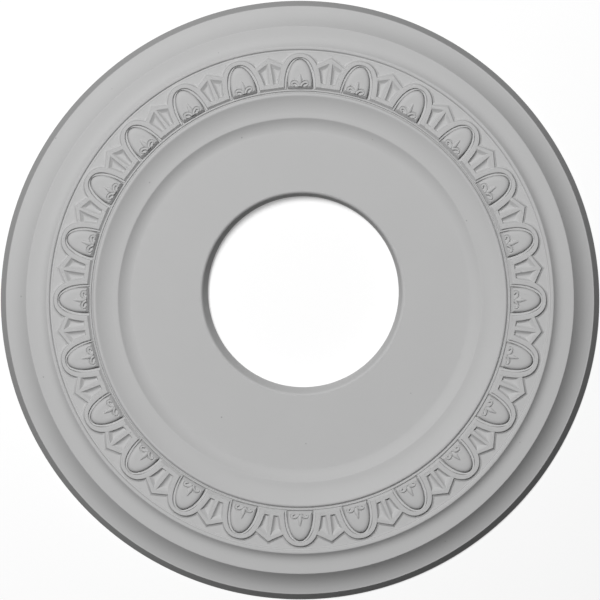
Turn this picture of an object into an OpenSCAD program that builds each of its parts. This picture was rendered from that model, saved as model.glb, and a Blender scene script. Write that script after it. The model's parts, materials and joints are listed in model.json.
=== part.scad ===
// Ceiling rose: a round moulded ceiling ornament with coved rings, an egg-and-dart frieze and a
// central opening. It lies on its flat back, face up, and is turned over to be fixed to a ceiling.

/* [Outer edge] */
// Diameter at the back, where the rose meets the ceiling
rose_d = 311.2; // [250:0.1:420]
// Height of the outer edge
edge_h = 6; // [4:0.1:12]
// How far the outer edge leans in over its height
edge_lean = 2.6; // [1:0.1:5]
// Width of the flat rim inside the outer edge
rim_w = 1.4; // [0.6:0.1:4]

/* [Outer coves] */
// Width of the outermost cove
cove_1_w = 9.2; // [6:0.1:14]
// Rise of the outermost cove
cove_1_h = 6.7; // [3:0.1:8]
// Radius of the outermost cove's hollow
cove_1_r = 18.4; // [14:0.1:40]
// Height of the step above the outermost cove
step_h = 0.5; // [0.3:0.1:2]
// Width of the flat on that step
step_w = 2; // [1:0.1:4]
// Width of the second cove
cove_2_w = 8.4; // [6:0.1:14]
// Rise of the second cove
cove_2_h = 3; // [1.5:0.1:5.5]
// Height of the fillet above the second cove
fillet_h = 0.5; // [0.3:0.1:2]
// Width of the fillet that edges the frieze
fillet_w = 1.8; // [1.2:0.1:4]

/* [Frieze] */
// Width of the frieze between its two fillets
frieze_w = 22.7; // [21:0.1:32]
// Depth of the frieze field below its fillets
field_sink = 1; // [0.6:0.1:3]
// Width of one egg with its arch and dart, along the middle of the frieze
unit_w = 31; // [27:0.1:40]
// Width of the plain border between the inner fillet and the ornament
border_w = 2.5; // [1.6:0.1:5]
// Width of the small bead along the middle of that border
bead_w = 1.2; // [0.6:0.1:1.4]
// Height of that bead
bead_h = 0.5; // [0.2:0.1:1]
// Thickness of the arches and darts
relief_h = 1.7; // [0.8:0.1:4]

/* [Egg and arch] */
// Width of an egg at its base
egg_w = 12.4; // [8:0.1:13]
// Length of an egg
egg_l = 14.9; // [9:0.1:15.5]
// Height of an egg above the arches
egg_crown = 1.6; // [0.4:0.1:3]
// Radius of the egg's domed top
egg_dome_r = 15; // [12:0.1:30]
// Width of the opening of an arch at its base
arch_w = 17; // [14:0.1:18]
// Length of the opening of an arch
arch_l = 16; // [15.8:0.1:17.5]
// Width of the arch band at its tip
arch_band = 2.1; // [1.2:0.1:3]
// Width of the arch band at its foot
arch_foot = 2.8; // [1.5:0.1:3.5]
// Width of the ledge between an arch and the groove round its egg
ledge_w = 0.7; // [0.3:0.1:1]
// Depth of the groove below the field
groove_h = 0.6; // [0.3:0.1:1.5]

/* [Dart] */
// Distance from the border to the point of a dart
dart_l = 17; // [14:0.1:18]
// Slope of the dart's two shoulders
dart_slope = 31.5; // [15:0.5:40]
// Width of the shoulder band, measured along the dart
dart_band = 2.9; // [1.5:0.1:4]
// Width of the stem at its foot
stem_w = 2.4; // [1.2:0.1:4]
// How much wider the stem is at its head
stem_flare = 1; // [0:0.1:2]
// Height of the foot below the pockets
dart_foot = 2.9; // [1.5:0.1:5]

/* [Inner coves] */
// Width of the fillet inside the frieze
inner_fillet_w = 1.2; // [0.8:0.1:4]
// Width of the first inner cove
cove_3_w = 9.6; // [6:0.1:12]
// Fall of the first inner cove
cove_3_h = 2.5; // [1:0.1:4]
// Width of the flat between the inner coves
inner_flat_w = 1.3; // [0.6:0.1:4]
// Fall of the step between the inner coves
inner_step_h = 0.5; // [0.3:0.1:1.5]
// Width of the last inner cove
cove_4_w = 7.2; // [5:0.1:9]
// Fall of the last inner cove
cove_4_h = 2.3; // [1:0.1:3]

/* [Opening] */
// Diameter of the opening
hole_d = 99.2; // [60:0.1:105]
// Distance of the opening's centre to the right of the mouldings' centre
hole_x = 1.7; // [-4:0.1:4]
// Distance of the opening's centre above the mouldings' centre
hole_y = 4.3; // [-5:0.1:5]
// Height of the straight land at the back of the opening
land_h = 3; // [2:0.1:6]
// How much the opening's wall leans back from the land to the face
lip_w = 3.7; // [1.5:0.1:6]
// How far the wall's rim at the face lies to the left of the land's centre
lip_x = 0.7; // [0:0.1:1]
// How far the wall's rim at the face lies below the land's centre
lip_y = 1; // [0:0.1:1.2]

/* [Hidden] */
$fn = 192;

// Lean of the small risers, which lets the casting leave its mould
riser_lean = 0.3;
// Straight lengths in each half of an egg or arch outline
outline_steps = 6;
// How much squarer than an ellipse the outside of an arch is
arch_square = 2.4;
// How far the arches, darts and eggs are rooted in what is under them
arch_root = 1.2;
dart_root = 0.9;
egg_root = 0.7;
// How much lower than the arches the darts stand
dart_sink = 0.15;

// Radii, from the outer edge in
r_edge = rose_d / 2;
r_rim = r_edge - edge_lean;
r_cove_1 = r_rim - rim_w;
r_step = r_cove_1 - cove_1_w;
r_cove_2 = r_step - step_w;
r_fillet = r_cove_2 - cove_2_w;
r_field = r_fillet - fillet_w;
r_inner = r_field - frieze_w;
r_border = r_inner + border_w;
r_bead = r_border - 0.56 * border_w;
r_cove_3 = r_inner - inner_fillet_w;
r_flat = r_cove_3 - cove_3_w;
r_inner_step = r_flat - inner_flat_w;
r_cove_4 = r_inner_step - inner_step_h;
r_plate = r_cove_4 - cove_4_w;

// Heights, from the back up
z_step = edge_h + cove_1_h + step_h;
z_fillet = z_step + cove_2_h + fillet_h;
z_field = z_fillet - field_sink;
z_relief = z_field + relief_h;
z_egg = z_relief + egg_crown;
z_flat = z_fillet - cove_3_h;
z_inner_step = z_flat - inner_step_h;
z_plate = z_inner_step - cove_4_h;

// The frieze takes as many whole units as fit, in fours so that an egg stands on each axis
r_middle = (r_field + r_inner) / 2;
units = 4 * round(2 * PI * r_middle / unit_w / 4);
unit_angle = 360 / units;

// Radius of a cove that starts level and gains h over the width w
function level_radius(w, h) = (w * w + h * h) / (2 * h);

// Centre of the arc of that radius from [0, 0] up to [w, h], hollow side up
function cove_centre(w, h, radius) =
    let (chord = sqrt(w * w + h * h), rise = sqrt(radius * radius - chord * chord / 4))
    [w / 2 - h * rise / chord, h / 2 + w * rise / chord];

// Half of an arched outline, from its foot to its tip; n = 2 is an ellipse, more is squarer
function arch_side(half_w, l, n) = [
    for (i = [0 : outline_steps])
        let (t = 90 * i / outline_steps)
        [half_w * pow(cos(t), 2 / n), l * pow(sin(t), 2 / n)]
];

// The same outline mirrored, from its tip to its other foot
function other_side(side) = [
    for (i = [1 : len(side) - 1]) [-side[len(side) - 1 - i].x, side[len(side) - 1 - i].y]
];

// An arched outline on its border line, with its foot carried down by drop
module arch_outline(w, l, n = 2, drop = border_w) {
    side = arch_side(w / 2, l, n);
    translate([0, r_border])
        polygon(concat([[w / 2, -drop]], side, other_side(side), [[-w / 2, -drop]]));
}

// Repeats its children round the frieze, starting at the given share of a unit
module around(start = 0) {
    for (i = [0 : units - 1])
        rotate((i + start) * unit_angle)
            children();
}

// The hollow of one cove, from its foot up and outwards (side 1) or up and inwards (side -1)
module cove_hollow(r_foot, z_foot, w, h, radius, side) {
    translate([r_foot, z_foot])
        mirror([side > 0 ? 0 : 1, 0])
            intersection() {
                translate(cove_centre(w, h, radius))
                    circle(radius);
                square([w, h]);
            }
}

// Half of the section through the mouldings, coves cut
module section() {
    difference() {
        polygon([
            [0, 0],
            [r_edge, 0],
            [r_rim, edge_h],
            [r_cove_1, edge_h],
            [r_cove_1, edge_h + cove_1_h],
            [r_step, edge_h + cove_1_h],
            [r_step - riser_lean, z_step],
            [r_cove_2, z_step],
            [r_cove_2, z_step + cove_2_h],
            [r_fillet, z_step + cove_2_h],
            [r_fillet - riser_lean, z_fillet],
            [r_field, z_fillet],
            [r_field - riser_lean, z_field],
            [r_bead + bead_w / 2, z_field],
            [r_bead + bead_w / 4, z_field + bead_h],
            [r_bead - bead_w / 4, z_field + bead_h],
            [r_bead - bead_w / 2, z_field],
            [r_inner + riser_lean, z_field],
            [r_inner, z_fillet],
            [r_cove_3, z_fillet],
            [r_flat, z_fillet],
            [r_flat, z_flat],
            [r_inner_step, z_flat],
            [r_cove_4, z_inner_step],
            [r_plate, z_inner_step],
            [r_plate, z_plate],
            [0, z_plate]
        ]);
        cove_hollow(r_cove_1, edge_h, cove_1_w, cove_1_h, cove_1_r, -1);
        cove_hollow(r_cove_2, z_step, cove_2_w, cove_2_h, level_radius(cove_2_w, cove_2_h), -1);
        cove_hollow(r_flat, z_flat, cove_3_w, cove_3_h, level_radius(cove_3_w, cove_3_h), 1);
        cove_hollow(r_plate, z_plate, cove_4_w, cove_4_h, level_radius(cove_4_w, cove_4_h), 1);
    }
}

// Outside of an arch
module arch_outside() {
    arch_outline(arch_w + 2 * arch_foot, arch_l + arch_band, arch_square);
}

// A dart's head and body; down lowers its shoulders, to give the outline of its pockets
module dart_outline(down = 0) {
    reach = unit_w / 2;
    point = r_border + dart_l - down;
    polygon([
        [0, point],
        [reach, point - reach * tan(dart_slope)],
        [reach, 0],
        [-reach, 0],
        [-reach, point - reach * tan(dart_slope)]
    ]);
}

// The stem that parts a dart's two pockets, wider towards its head
module stem() {
    foot = r_border;
    head = r_border + dart_l;
    polygon([
        [-stem_w / 2, foot],
        [stem_w / 2, foot],
        [(stem_w + stem_flare) / 2, head],
        [-(stem_w + stem_flare) / 2, head]
    ]);
}

// One sunk pocket each side of a dart's stem, between the arches
module pockets() {
    difference() {
        intersection() {
            dart_outline(dart_band);
            dart_sector();
        }
        stem();
        circle(r_border + dart_foot);
        for (side = [-1, 1])
            rotate(side * unit_angle / 2)
                arch_outside();
    }
}

// The share of the frieze that one dart stands in
module dart_sector() {
    half = r_fillet * tan(unit_angle / 2);
    polygon([[0, 0], [half, r_fillet], [-half, r_fillet]]);
}

// All arches and darts, open where the eggs and pockets are and rooted in the field
module relief() {
    difference() {
        union() {
            around()
                prism(arch_root, relief_h)
                    arch_outside();
            around(0.5)
                prism(dart_root, relief_h - dart_sink)
                    intersection() {
                        dart_outline();
                        dart_sector();
                    }
        }
        translate([0, 0, z_field - 2 * arch_root])
            cylinder(h = 2 * arch_root + z_egg, r = r_border);
        around()
            prism(2 * arch_root, 2 * relief_h)
                arch_outline(arch_w, arch_l, drop = 2 * border_w);
        around(0.5)
            prism(2 * arch_root, 2 * relief_h)
                pockets();
    }
}

// Extrudes its outline from root below the field to h above it
module prism(root, h) {
    translate([0, 0, z_field - root])
        linear_extrude(root + h)
            children();
}

// One egg: a prism under a domed top, rooted below its groove
module egg() {
    intersection() {
        prism(groove_h + egg_root, 2 * relief_h + egg_crown)
            arch_outline(egg_w, egg_l, drop = 0);
        translate([0, r_border + egg_l / 2, z_egg - egg_dome_r])
            sphere(egg_dome_r);
    }
}

// The grooves round the eggs, inside the ledges of the arches
module grooves() {
    around()
        prism(groove_h, relief_h)
            arch_outline(arch_w - 2 * ledge_w, arch_l - ledge_w, drop = ledge_w);
}

// The opening: a short round land, then a wall that leans out to a rim a little off its centre
module opening() {
    over = 1;
    wall_h = z_plate - land_h;
    lean = lip_w / wall_h;
    translate([hole_x, hole_y, -over])
        cylinder(h = land_h + over, d = hole_d);
    translate([hole_x, hole_y, land_h])
        multmatrix([
            [1, 0, -lip_x / wall_h, 0],
            [0, 1, -lip_y / wall_h, 0],
            [0, 0, 1, 0]
        ])
            cylinder(h = wall_h + over, r1 = hole_d / 2, r2 = hole_d / 2 + lean * (wall_h + over));
}

// The whole rose
module ceiling_rose() {
    color("#b3b3b3")
    union() {
        difference() {
            rotate_extrude()
                section();
            grooves();
            opening();
        }
        relief();
        around()
            egg();
    }
}

ceiling_rose();
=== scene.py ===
import json
import math

import bpy
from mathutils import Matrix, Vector


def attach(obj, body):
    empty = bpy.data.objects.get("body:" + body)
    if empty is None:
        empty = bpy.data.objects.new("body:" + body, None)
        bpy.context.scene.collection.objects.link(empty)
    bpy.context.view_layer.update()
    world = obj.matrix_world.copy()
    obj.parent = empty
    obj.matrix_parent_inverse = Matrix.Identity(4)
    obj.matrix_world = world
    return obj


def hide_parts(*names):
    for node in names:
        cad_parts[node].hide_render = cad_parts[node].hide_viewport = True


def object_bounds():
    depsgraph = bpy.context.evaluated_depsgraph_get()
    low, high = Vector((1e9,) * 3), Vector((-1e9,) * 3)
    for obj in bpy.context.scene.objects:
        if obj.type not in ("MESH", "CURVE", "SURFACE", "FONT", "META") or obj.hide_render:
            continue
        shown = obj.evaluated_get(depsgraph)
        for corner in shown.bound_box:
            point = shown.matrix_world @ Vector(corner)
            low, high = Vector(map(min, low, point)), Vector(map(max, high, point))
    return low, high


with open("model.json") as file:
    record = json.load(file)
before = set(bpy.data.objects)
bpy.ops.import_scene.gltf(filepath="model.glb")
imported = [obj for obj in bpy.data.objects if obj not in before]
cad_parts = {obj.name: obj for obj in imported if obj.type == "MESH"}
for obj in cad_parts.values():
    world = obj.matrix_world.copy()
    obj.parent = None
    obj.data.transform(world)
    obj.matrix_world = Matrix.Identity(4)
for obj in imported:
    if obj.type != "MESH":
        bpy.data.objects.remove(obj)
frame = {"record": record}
cad_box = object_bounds()

# The body of the casting: one stiff foam ring with a leaning edge, two coves each side of the
# frieze and a level plate round the opening. It is cast face down in a mould, so every arris
# is a little soft, and it lies here on its flat back with its face up.
MM = 0.001
ROUND = 384
edge_r = cad_box[1][0]
top_z = cad_box[1][2]
opening = next(m for m in frame["record"]["mounts"] if m["name"] == "centre_opening")
opening_x, opening_y = opening["pos_m"][:2]
opening_r = opening["dims"]["r_mm"] * MM
land_h = opening["dims"]["length_mm"] * MM
egg_crown = 1.6 * MM
relief_h = 1.7 * MM
relief_z = top_z - egg_crown
field_z = relief_z - relief_h
fillet_z = field_z + 1.0 * MM
cove_2_z = fillet_z - 3.2 * MM
rim_z = cove_2_z - 8.2 * MM
flat_z = fillet_z - 3.3 * MM
plate_z = flat_z - 3.2 * MM
border_r = 110 * MM


def hollow(foot, head, even, power, steps=9):
    """Points (radius, height) of a cove from its foot to its head. The share even of its rise is
    an even slope, and the rest steepens with that power."""
    points = []
    for i in range(1, steps):
        t = i / steps
        rise = even * t + (1 - even) * t ** power
        points.append(Vector((foot.x + (head.x - foot.x) * t, foot.y + (head.y - foot.y) * rise)))
    return points


def soften(points, width):
    """The same outline with each sharp corner turned into a small curve."""
    soft = [points[0]]
    for before, corner, after in zip(points, points[1:], points[2:]):
        come = corner - before
        go = after - corner
        if come.angle(go) < math.radians(11):
            soft.append(corner)
            continue
        start = corner - come.normalized() * min(width, 0.4 * come.length)
        end = corner + go.normalized() * min(width, 0.4 * go.length)
        soft += [start, (start + 2 * corner + end) / 4, end]
    return soft + [points[-1]]


def at(r, z):
    """A point of the section, from a radius in millimetres and a height in metres."""
    return Vector((r * MM, z))


cove_1_foot = at(152.4, rim_z)
cove_1_head = at(142.3, cove_2_z - 0.15 * MM)
cove_2_foot = at(140.4, cove_2_z)
cove_2_head = at(131.8, fillet_z - 0.15 * MM)
cove_3_foot = at(96.8, flat_z)
cove_3_head = at(106.2, fillet_z)
cove_4_foot = at(87.6, plate_z)
cove_4_head = at(94.6, flat_z)
field_low = field_z - 0.15 * MM
bead_z = field_z + 0.5 * MM
bead_low = field_z - 0.45 * MM
section = [at(edge_r / MM - 0.1, 0), at(edge_r / MM, 0.3 * MM), at(152.8, rim_z), cove_1_foot]
section += hollow(cove_1_foot, cove_1_head, 0.4, 2.5)
section += [cove_1_head, at(142.1, cove_2_z), cove_2_foot]
section += hollow(cove_2_foot, cove_2_head, 0.04, 4)
section += [cove_2_head, at(131.6, fillet_z), at(130.3, fillet_z), at(129.7, field_low)]
section += [at(129.3, field_low), at(129.0, field_z), at(128.7, field_low)]
section += [at(109.35, field_low), at(109.1, bead_z), at(108.6, bead_z)]
section += [at(108.25, bead_low), at(108.05, bead_low), at(107.2, fillet_z), cove_3_head]
section += reversed(hollow(cove_3_foot, cove_3_head, 0.15, 2))
section += [cove_3_foot, cove_4_head]
section += reversed(hollow(cove_4_foot, cove_4_head, 0.1, 2))
section += [cove_4_foot]

# Every ring of the body is (radius, height, centre x, centre y): the mouldings are round one
# centre, and the rim and the land of the opening round two others
rings = [Vector((p.x, p.y, 0, 0)) for p in section]
rim_x = opening_x - 0.45 * MM
rim_y = opening_y - 0.75 * MM
rings.append(Vector((53.0 * MM, plate_z, rim_x, rim_y)))
rings.append(Vector((52.4 * MM, plate_z - 0.3 * MM, rim_x, rim_y)))
rings.append(Vector((51.8 * MM, plate_z - 1.1 * MM, rim_x, rim_y)))
rings.append(Vector((opening_r, land_h, opening_x, opening_y)))
rings.append(Vector((opening_r, 0, opening_x, opening_y)))
arris = 0.35 * MM
rings = soften(rings, arris)

bpy.ops.object.select_all(action="DESELECT")
bpy.ops.mesh.primitive_circle_add(vertices=ROUND, radius=rings[0][0], location=(0, 0, rings[0][1]))
body = bpy.context.object
body.name = "ceiling_rose_body"
bpy.ops.object.transform_apply()
bpy.ops.object.mode_set(mode="EDIT")
bpy.ops.mesh.select_mode(type="EDGE")
bpy.ops.mesh.select_all(action="SELECT")
for last, ring in zip(rings, rings[1:]):
    bpy.ops.mesh.extrude_region_move()
    grow = ring[0] / last[0]
    bpy.ops.transform.resize(value=(grow, grow, 1), center_override=(last[2], last[3], last[1]))
    bpy.ops.transform.translate(value=(ring[2] - last[2], ring[3] - last[3], ring[1] - last[1]))
bpy.ops.mesh.select_all(action="DESELECT")
bpy.ops.mesh.select_non_manifold()
bpy.ops.mesh.bridge_edge_loops()
bpy.ops.mesh.select_all(action="SELECT")
bpy.ops.mesh.normals_make_consistent(inside=False)
bpy.ops.object.mode_set(mode="OBJECT")


# The arches: one flat raised band round each egg, open at its foot, with its arrises rounded
# by the mould. They are modelled once on the top axis and copied round the frieze.
UNITS = 24
unit_turn = 2 * math.pi / UNITS
arch_root = 1.0 * MM


def on_oval(x, y, half_w, length, square=2.0, stand=0.0):
    """Where a point of the unit circle lies on an oval; square above 2 fills out its corners."""
    across = math.copysign(abs(x) ** (2 / square), x)
    out = math.copysign(abs(y) ** (2 / square), y)
    return half_w * across, border_r + stand + length * out


def cut_away(co, outwards):
    """Cuts the selected block at a plane and closes it, leaving all of it selected."""
    bpy.ops.mesh.select_all(action="SELECT")
    outwards = Vector(outwards).normalized()
    bpy.ops.mesh.bisect(plane_co=co, plane_no=outwards, clear_outer=True, use_fill=True)


def close_up():
    """Turns all normals outwards and leaves edit mode."""
    bpy.ops.mesh.select_all(action="SELECT")
    bpy.ops.mesh.normals_make_consistent(inside=False)
    bpy.ops.object.mode_set(mode="OBJECT")


def oval_band(name, loops, foot, square=2.0):
    """A closed band round half ovals. Each loop of its section is (half width, length, height),
    and its two feet are cut at y = foot."""
    bpy.ops.object.select_all(action="DESELECT")
    bpy.ops.mesh.primitive_circle_add(vertices=72, radius=1, location=(0, 0, 0))
    band = bpy.context.object
    band.name = name
    bpy.ops.object.mode_set(mode="EDIT")
    bpy.ops.mesh.select_mode(type="EDGE")
    bpy.ops.mesh.select_all(action="SELECT")
    for i in range(1, len(loops)):
        bpy.ops.mesh.extrude_region_move()
        grow = (i + 1) / i
        bpy.ops.transform.resize(value=(grow, grow, grow), center_override=(0, 0, 0))
    bpy.ops.mesh.select_all(action="DESELECT")
    bpy.ops.mesh.select_non_manifold()
    bpy.ops.mesh.bridge_edge_loops()
    bpy.ops.object.mode_set(mode="OBJECT")
    for v in band.data.vertices:
        i = round(v.co.length)
        half_w, length, z = loops[i - 1]
        v.co = (*on_oval(v.co.x / i, v.co.y / i, half_w * MM, length * MM, square=square), z)
    bpy.ops.object.mode_set(mode="EDIT")
    cut_away((0, foot, 0), (0, -1, 0))
    close_up()
    return band


def ring_round(piece, start):
    """Copies a piece round the frieze from the given share of a unit, as one object."""
    copies = []
    for i in range(UNITS):
        copy = piece.copy()
        copy.data = piece.data.copy()
        bpy.context.collection.objects.link(copy)
        copy.rotation_euler = (0, 0, -(i + start) * unit_turn)
        copies.append(copy)
    bpy.data.objects.remove(piece)
    bpy.ops.object.select_all(action="DESELECT")
    for copy in copies:
        copy.select_set(True)
    bpy.context.view_layer.objects.active = copies[0]
    bpy.ops.object.transform_apply()
    bpy.ops.object.join()
    return bpy.context.object


legs_end = border_r - 3 * MM
arch = oval_band(
    "arch",
    [
        (7.9, 15.7, field_z - arch_root),
        (7.95, 15.75, relief_z - 1.1 * MM),
        (8.1, 15.85, relief_z - 0.45 * MM),
        (8.3, 16.0, relief_z - 0.12 * MM),
        (8.6, 16.2, relief_z),
        (10.5, 17.45, relief_z),
        (10.8, 17.7, relief_z - 0.05 * MM),
        (10.9, 17.8, relief_z - 0.2 * MM),
        (11.2, 18.08, relief_z - 1.15 * MM),
        (11.5, 18.35, relief_z - 1.45 * MM),
        (12.1, 18.9, field_z),
        (12.1, 18.9, field_z - arch_root),
    ],
    legs_end,
    square=2.3,
)
arches = ring_round(arch, 0)


# The darts between the arches: a plate with a blunt arrow head, whose two long pockets leave a
# stem between them. The plate stands a hair lower than the arches and runs on under them.
dart_root = 0.7 * MM
dart_z = relief_z - 0.15 * MM
dart_point = 127.0 * MM
slope = math.radians(31.5)


def plain_block(name, low, high):
    """A block between two corners, in edit mode."""
    low = Vector(low)
    high = Vector(high)
    bpy.ops.object.select_all(action="DESELECT")
    bpy.ops.mesh.primitive_cube_add(size=1, location=(low + high) / 2, scale=high - low)
    block = bpy.context.object
    block.name = name
    bpy.ops.object.transform_apply()
    bpy.ops.object.mode_set(mode="EDIT")
    return block


def pick_faces(piece, wanted):
    """Selects, in edit mode, only the faces whose centre and normal are as wanted."""
    bpy.ops.mesh.select_mode(type="FACE")
    bpy.ops.mesh.select_all(action="DESELECT")
    bpy.ops.object.mode_set(mode="OBJECT")
    for face in piece.data.polygons:
        face.select = wanted(face.center, face.normal)
    bpy.ops.object.mode_set(mode="EDIT")


def round_top(steps):
    """Rounds the arris of the selected top face by (in, up) insets in millimetres."""
    for inwards, up in steps:
        bpy.ops.mesh.inset(thickness=inwards * MM, depth=up * MM, use_even_offset=True)


def boolean(piece, other, operation):
    """Cuts other from piece, or joins the two into one skin, and removes other."""
    bpy.ops.object.select_all(action="DESELECT")
    piece.select_set(True)
    bpy.context.view_layer.objects.active = piece
    step = piece.modifiers.new("with_" + other.name, "BOOLEAN")
    step.operation = operation
    step.solver = "MANIFOLD"
    step.object = other
    bpy.ops.object.modifier_apply(modifier=step.name)
    bpy.data.objects.remove(other)


dart = plain_block(
    "dart",
    (-9 * MM, legs_end - 1 * MM, field_z - dart_root),
    (9 * MM, dart_point + 1 * MM, dart_z - 1.5 * MM),
)
for side in (-1, 1):
    cut_away((0, dart_point + 0.6 * MM, 0), (side * math.sin(slope), math.cos(slope), 0))
    cut_away((side * 4.5 * MM, border_r, 0), (side * 11.8, -4, 0))
pick_faces(dart, lambda centre, normal: normal.z > 0.9)
round_top([(0.75, 0.5), (0.3, 0.85), (0.12, 0.12), (0.3, 0.03)])
cut_away((0, legs_end, 0), (0, -1, 0))
close_up()

soft = 0.35 * MM
pocket_foot = border_r + 2.8 * MM
for side in (-1, 1):
    pocket = plain_block(
        "dart_pocket",
        (0, border_r, dart_z + 0.05 * MM),
        (9 * MM, dart_point, dart_z + 0.4 * MM),
    )
    cut_away((1.15 * MM - soft, pocket_foot, 0), (-10.2, -0.3, 0))
    cut_away((3.6 * MM + soft, pocket_foot, 0), (8.1, -2.5, 0))
    cut_away((1.5 * MM, border_r + 13 * MM + soft, 0), (2.1, 3.8, 0))
    cut_away((0, pocket_foot - soft, 0), (0, -1, 0))
    pick_faces(pocket, lambda centre, normal: normal.z < -0.9)
    round_top([(0.15, 0.1), (0.12, 0.2), (0.9, 1.15)])
    bpy.ops.transform.translate(value=(0, -0.7 * MM, 0))
    bpy.ops.mesh.extrude_region_move()
    bpy.ops.transform.resize(value=(0.25, 0.7, 1))
    bpy.ops.transform.translate(value=(0, 0, -0.35 * MM))
    bpy.ops.mesh.select_all(action="SELECT")
    bpy.ops.transform.resize(value=(side, 1, 1), center_override=(0, 0, 0))
    close_up()
    boolean(dart, pocket, "DIFFERENCE")
darts = ring_round(dart, 0.5)

# The grooves round the eggs: each is sunk below the field and leaves a thin ledge inside its
# arch, and the egg rises from its floor.
groove_z = field_z - 0.75 * MM
groove_root = groove_z - 0.4 * MM


def half_oval(name, half_w, length, z, foot, stand=0.0, turns=56):
    """A flat half oval round a middle that stands that far out from the border, cut at y = foot."""
    bpy.ops.object.select_all(action="DESELECT")
    bpy.ops.mesh.primitive_circle_add(vertices=turns, radius=1, fill_type="NGON", location=(0, 0, 0))
    oval = bpy.context.object
    oval.name = name
    for v in oval.data.vertices:
        v.co = (*on_oval(v.co.x, v.co.y, half_w, length, stand=stand), z)
    bpy.ops.object.mode_set(mode="EDIT")
    bpy.ops.mesh.select_all(action="SELECT")
    bpy.ops.mesh.bisect(plane_co=(0, foot, 0), plane_no=(0, -1, 0), clear_outer=True, use_fill=False)
    bpy.ops.object.mode_set(mode="OBJECT")
    return oval


def raise_block(height):
    """Extrudes a flat face up into a closed block with its top selected, in edit mode."""
    bpy.ops.object.mode_set(mode="EDIT")
    bpy.ops.mesh.select_mode(type="FACE")
    bpy.ops.mesh.select_all(action="SELECT")
    bpy.ops.mesh.extrude_region_move(TRANSFORM_OT_translate={"value": (0, 0, height)})


groove = half_oval("egg_groove", 7.8 * MM, 15.3 * MM, groove_z, border_r - 0.65 * MM)
raise_block(2 * MM)
close_up()
boolean(body, ring_round(groove, 0), "DIFFERENCE")

# The thin lips: one stands in each groove, between the egg and its arch. It is lower than the
# arch, and its level top runs out into the arch's inner wall.
lip_z = relief_z - 1.2 * MM
lip = oval_band(
    "egg_lip",
    [
        (6.8, 15.2, groove_root),
        (6.9, 15.25, lip_z - 0.5 * MM),
        (7.05, 15.35, lip_z - 0.12 * MM),
        (7.3, 15.5, lip_z),
        (8.3, 16.0, lip_z),
        (8.3, 16.0, groove_root),
    ],
    legs_end,
)
lips = ring_round(lip, 0)

# The darts, arches and lips all end at the border in one leaning face
foot_lean = 0.9
foot_top = border_r + 0.8 * MM
frieze = darts
for part in (arches, lips):
    boolean(frieze, part, "UNION")
cone_low = field_z - 2 * MM
cone_high = relief_z + 1 * MM
bpy.ops.object.select_all(action="DESELECT")
bpy.ops.mesh.primitive_cone_add(
    vertices=ROUND,
    radius1=foot_top + foot_lean * (cone_low - relief_z),
    radius2=foot_top + foot_lean * (cone_high - relief_z),
    depth=cone_high - cone_low,
    location=(0, 0, (cone_low + cone_high) / 2),
)
cone = bpy.context.object
cone.name = "border_cone"
bpy.ops.object.transform_apply()
boolean(frieze, cone, "DIFFERENCE")

# The eggs: low cushions with steep sides and a level crown, cut straight at the border. Each
# carries a small sprig near its foot, a bud between two curled leaves.
egg_cut = border_r - 0.6 * MM
crown_z = top_z - 0.8 * MM
egg_steps = [(0.97, 0.42), (0.925, 0.36), (0.86, 0.28), (0.77, 0.2), (0.65, 0.12), (0.48, 0.05)]
egg_rise = sum(up for _, up in egg_steps) * MM
egg_middle = (0, border_r + 5.8 * MM, 0)
egg = half_oval("egg", 6.75 * MM, 12.1 * MM, groove_root, egg_cut, stand=3 * MM)
raise_block(crown_z - egg_rise - groove_root)
bpy.ops.transform.resize(value=(0.94, 0.965, 1), center_override=egg_middle)
last = 1
for size, up in egg_steps:
    bpy.ops.mesh.extrude_region_move(TRANSFORM_OT_translate={"value": (0, 0, up * MM)})
    bpy.ops.transform.resize(value=(size / last, size / last, 1), center_override=egg_middle)
    last = size
cut_away((0, foot_top, relief_z), (0, -1, foot_lean))
close_up()

for side in (-1, 1):
    bpy.ops.object.select_all(action="DESELECT")
    bpy.ops.mesh.primitive_uv_sphere_add(segments=24, ring_count=12, radius=1)
    hollow_bed = bpy.context.object
    hollow_bed.name = "sprig_bed"
    bpy.ops.transform.resize(value=(2.4 * MM, 2.2 * MM, 0.95 * MM), center_override=(0, 0, 0))
    bpy.ops.transform.translate(value=(side * 2.9 * MM, border_r + 2 * MM, crown_z))
    bpy.ops.object.transform_apply()
    boolean(egg, hollow_bed, "DIFFERENCE")

bpy.ops.object.select_all(action="DESELECT")
bpy.ops.mesh.primitive_uv_sphere_add(segments=20, ring_count=12, radius=1)
bud = bpy.context.object
bud.name = "sprig_bud"
bpy.ops.transform.resize(value=(1.3 * MM, 3.2 * MM, 1.1 * MM), center_override=(0, 0, 0))
bpy.ops.transform.translate(value=(0, border_r + 4.6 * MM, top_z - 1.1 * MM))
bpy.ops.object.transform_apply()
bpy.ops.object.mode_set(mode="EDIT")
pick_faces(bud, lambda centre, normal: centre.y > border_r + 5.2 * MM)
bpy.ops.transform.resize(value=(0.68, 1, 1), center_override=(0, 0, 0))
close_up()
boolean(egg, bud, "UNION")

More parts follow.
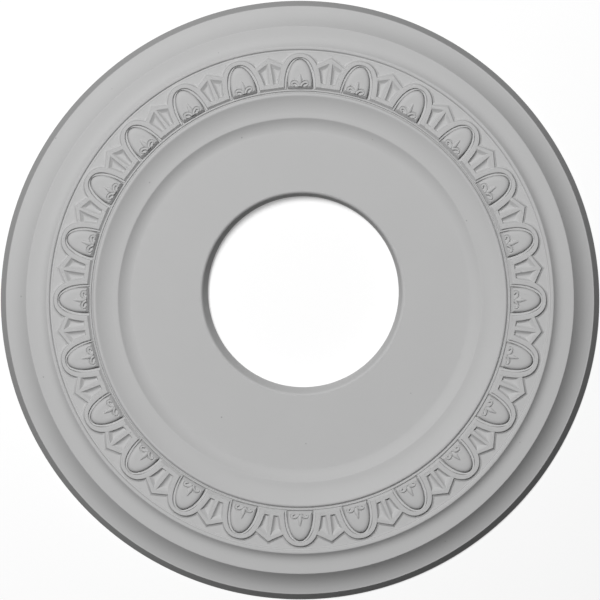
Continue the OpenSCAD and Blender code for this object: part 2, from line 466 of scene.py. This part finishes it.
leaf_line = [(0.5, 0.9), (0.9, 3.0), (4.2, 4.6), (5.4, 1.6), (2.9, 1.2)]
for side in (-1, 1):
    bpy.ops.object.select_all(action="DESELECT")
    bpy.ops.curve.primitive_nurbs_path_add(radius=1)
    leaf = bpy.context.object
    leaf.name = "sprig_leaf"
    leaf.data.bevel_depth = 0.65 * MM
    leaf.data.bevel_resolution = 2
    leaf.data.resolution_u = 5
    leaf.data.use_fill_caps = True
    spline = leaf.data.splines[0]
    for i, (x, out) in enumerate(leaf_line):
        drop = (0.9 + 0.1 * i) * MM
        spline.points[i].co = (side * x * MM, border_r + out * MM, top_z - drop, 1)
        spline.points[i].radius = 1 - 0.08 * i
    bpy.ops.object.convert(target="MESH")
    leaf = bpy.context.object
    bpy.ops.object.transform_apply()
    bpy.ops.object.mode_set(mode="EDIT")
    bpy.ops.mesh.select_all(action="SELECT")
    bpy.ops.mesh.remove_doubles(threshold=0.01 * MM)
    close_up()
    boolean(egg, leaf, "UNION")
eggs = ring_round(egg, 0)

# One skin: the darts, arches and eggs are cast in one with the body
for part in (frieze, eggs):
    boolean(body, part, "UNION")
body.name = "ceiling_rose_casting"
bpy.ops.object.select_all(action="DESELECT")
body.select_set(True)
bpy.context.view_layer.objects.active = body
bpy.ops.object.shade_smooth_by_angle(angle=math.radians(38))
level = body.modifiers.new("level_faces", "WEIGHTED_NORMAL")
level.keep_sharp = True
bpy.ops.object.modifier_apply(modifier=level.name)

# The finish: a matt grey primer, sprayed on the foam, with the faintest grain and a few specks
# of dust. Apart from that, the colour is made darker on the leaning outer edge than on the face.
primer = bpy.data.materials.new("grey_primer")
primer.use_nodes = True
nodes = primer.node_tree.nodes
links = primer.node_tree.links
shader = nodes["Principled BSDF"]
shader.inputs["Roughness"].default_value = 0.85
shader.inputs["Specular IOR Level"].default_value = 0.15
coordinates = nodes.new("ShaderNodeTexCoord")

cloud = nodes.new("ShaderNodeTexNoise")
cloud.inputs["Scale"].default_value = 55
cloud.inputs["Detail"].default_value = 3
links.new(coordinates.outputs["Object"], cloud.inputs["Vector"])
tint = nodes.new("ShaderNodeMix")
tint.data_type = "RGBA"
tint.inputs["A"].default_value = (0.447, 0.447, 0.447, 1)
tint.inputs["B"].default_value = (0.463, 0.463, 0.463, 1)
links.new(cloud.outputs["Fac"], tint.inputs["Factor"])

dust = nodes.new("ShaderNodeTexVoronoi")
dust.inputs["Scale"].default_value = 70
links.new(coordinates.outputs["Object"], dust.inputs["Vector"])
speck = nodes.new("ShaderNodeMapRange")
speck.inputs["From Min"].default_value = 0.022
speck.inputs["From Max"].default_value = 0.032
speck.inputs["To Min"].default_value = 0.45
speck.inputs["To Max"].default_value = 0
links.new(dust.outputs["Distance"], speck.inputs["Value"])
speckled = nodes.new("ShaderNodeMix")
speckled.data_type = "RGBA"
speckled.inputs["B"].default_value = (0.12, 0.12, 0.12, 1)
links.new(speck.outputs["Result"], speckled.inputs["Factor"])
links.new(tint.outputs["Result"], speckled.inputs["A"])

# From a radius of 152.6 mm out, on the leaning outer edge, the colour is made darker
level_part = nodes.new("ShaderNodeVectorMath")
level_part.operation = "MULTIPLY"
level_part.inputs[1].default_value = (1, 1, 0)
links.new(coordinates.outputs["Object"], level_part.inputs[0])
from_axis = nodes.new("ShaderNodeVectorMath")
from_axis.operation = "LENGTH"
links.new(level_part.outputs["Vector"], from_axis.inputs[0])
at_edge = nodes.new("ShaderNodeMapRange")
at_edge.inputs["From Min"].default_value = 152.6 * MM
at_edge.inputs["From Max"].default_value = 153.0 * MM
links.new(from_axis.outputs["Value"], at_edge.inputs["Value"])
edged = nodes.new("ShaderNodeMix")
edged.data_type = "RGBA"
edged.inputs["B"].default_value = (0.3, 0.3, 0.3, 1)
links.new(at_edge.outputs["Result"], edged.inputs["Factor"])
links.new(speckled.outputs["Result"], edged.inputs["A"])
links.new(edged.outputs["Result"], shader.inputs["Base Color"])

grain = nodes.new("ShaderNodeTexNoise")
grain.inputs["Scale"].default_value = 1600
grain.inputs["Detail"].default_value = 2
links.new(coordinates.outputs["Object"], grain.inputs["Vector"])
rough = nodes.new("ShaderNodeBump")
rough.inputs["Strength"].default_value = 0.12
rough.inputs["Distance"].default_value = 0.1 * MM
links.new(grain.outputs["Fac"], rough.inputs["Height"])
links.new(rough.outputs["Normal"], shader.inputs["Normal"])

body.data.materials.clear()
body.data.materials.append(primer)
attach(body, "root")
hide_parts("ceiling_rose")

# The studio: a plain white floor that the rose lies on, one large soft light from the upper
# left, close to overhead, and a little even light from all round. Part of what the eye sees of
# the floor is plain white, and the rest is lit, so that it keeps the shadow of the rose.
seen_mask = bpy.data.node_groups.new("seen_by_the_eye", "ShaderNodeTree")
seen_mask.interface.new_socket("Seen", in_out="OUTPUT", socket_type="NodeSocketFloat")
path = seen_mask.nodes.new("ShaderNodeLightPath")
seen_plain = seen_mask.nodes.new("ShaderNodeMath")
seen_plain.operation = "MAXIMUM"
seen_mask.links.new(path.outputs["Is Camera Ray"], seen_plain.inputs[0])
seen_mask.links.new(path.outputs["Is Glossy Ray"], seen_plain.inputs[1])
seen_through = seen_mask.nodes.new("ShaderNodeMath")
seen_through.operation = "MAXIMUM"
seen_mask.links.new(seen_plain.outputs["Value"], seen_through.inputs[0])
seen_mask.links.new(path.outputs["Is Transmission Ray"], seen_through.inputs[1])
mask_end = seen_mask.nodes.new("NodeGroupOutput")
seen_mask.links.new(seen_through.outputs["Value"], mask_end.inputs["Seen"])

bpy.ops.object.select_all(action="DESELECT")
bpy.ops.mesh.primitive_plane_add(size=6, location=(0, 0, -0.05 * MM))
floor = bpy.context.object
floor.name = "floor"
plain_share = 0.35
paper = bpy.data.materials.new("white_paper")
paper.use_nodes = True
nodes = paper.node_tree.nodes
links = paper.node_tree.links
matt = nodes["Principled BSDF"]
matt.inputs["Roughness"].default_value = 1
matt.inputs["Specular IOR Level"].default_value = 0
white = nodes.new("ShaderNodeEmission")
white.inputs["Color"].default_value = (1, 1, 1, 1)
seen = nodes.new("ShaderNodeGroup")
seen.node_tree = seen_mask
sheet = nodes.new("ShaderNodeMix")
sheet.data_type = "RGBA"
sheet.inputs["A"].default_value = (0.45, 0.45, 0.45, 1)
sheet.inputs["B"].default_value = (0.98, 0.98, 0.98, 1)
links.new(seen.outputs["Seen"], sheet.inputs["Factor"])
links.new(sheet.outputs["Result"], matt.inputs["Base Color"])
shown = nodes.new("ShaderNodeMath")
shown.operation = "MULTIPLY"
shown.inputs[1].default_value = plain_share
links.new(seen.outputs["Seen"], shown.inputs[0])
bright = nodes.new("ShaderNodeMixShader")
links.new(shown.outputs["Value"], bright.inputs["Fac"])
links.new(matt.outputs["BSDF"], bright.inputs[1])
links.new(white.outputs["Emission"], bright.inputs[2])
links.new(bright.outputs["Shader"], nodes["Material Output"].inputs["Surface"])
floor.data.materials.append(paper)

light_away = 2.4
light_lean = math.radians(23.5)
light_turn = math.radians(126)
towards_light = Vector((
    math.sin(light_lean) * math.cos(light_turn),
    math.sin(light_lean) * math.sin(light_turn),
    math.cos(light_lean),
))
bpy.ops.object.light_add(type="AREA", location=towards_light * light_away)
soft_light = bpy.context.object
soft_light.name = "soft_light"
soft_light.data.shape = "DISK"
soft_light.data.size = 0.8
soft_light.data.energy = 62.5
soft_light.rotation_euler = towards_light.to_track_quat("Z", "Y").to_euler()

world = bpy.data.worlds.new("studio")
world.use_nodes = True
nodes = world.node_tree.nodes
links = world.node_tree.links
around = nodes["Background"]
around.inputs["Color"].default_value = (1, 1, 1, 1)
around.inputs["Strength"].default_value = 0.015
backdrop = nodes.new("ShaderNodeBackground")
backdrop.inputs["Color"].default_value = (1, 1, 1, 1)
backdrop.inputs["Strength"].default_value = 1
seen = nodes.new("ShaderNodeGroup")
seen.node_tree = seen_mask
either = nodes.new("ShaderNodeMixShader")
links.new(seen.outputs["Seen"], either.inputs["Fac"])
links.new(around.outputs["Background"], either.inputs[1])
links.new(backdrop.outputs["Background"], either.inputs[2])
links.new(either.outputs["Shader"], nodes["World Output"].inputs["Surface"])
bpy.context.scene.world = world
bpy.context.scene.view_settings.view_transform = "Standard"

camera_z = 12.0
frame_w = 0.3119
sensor_w = 36
bpy.ops.object.camera_add(location=(0, 0, camera_z), rotation=(0, 0, 0))
camera = bpy.context.object
camera.name = "camera"
camera.data.sensor_width = sensor_w
camera.data.lens = sensor_w * camera_z / frame_w
camera.data.clip_end = 40
bpy.context.scene.camera = camera
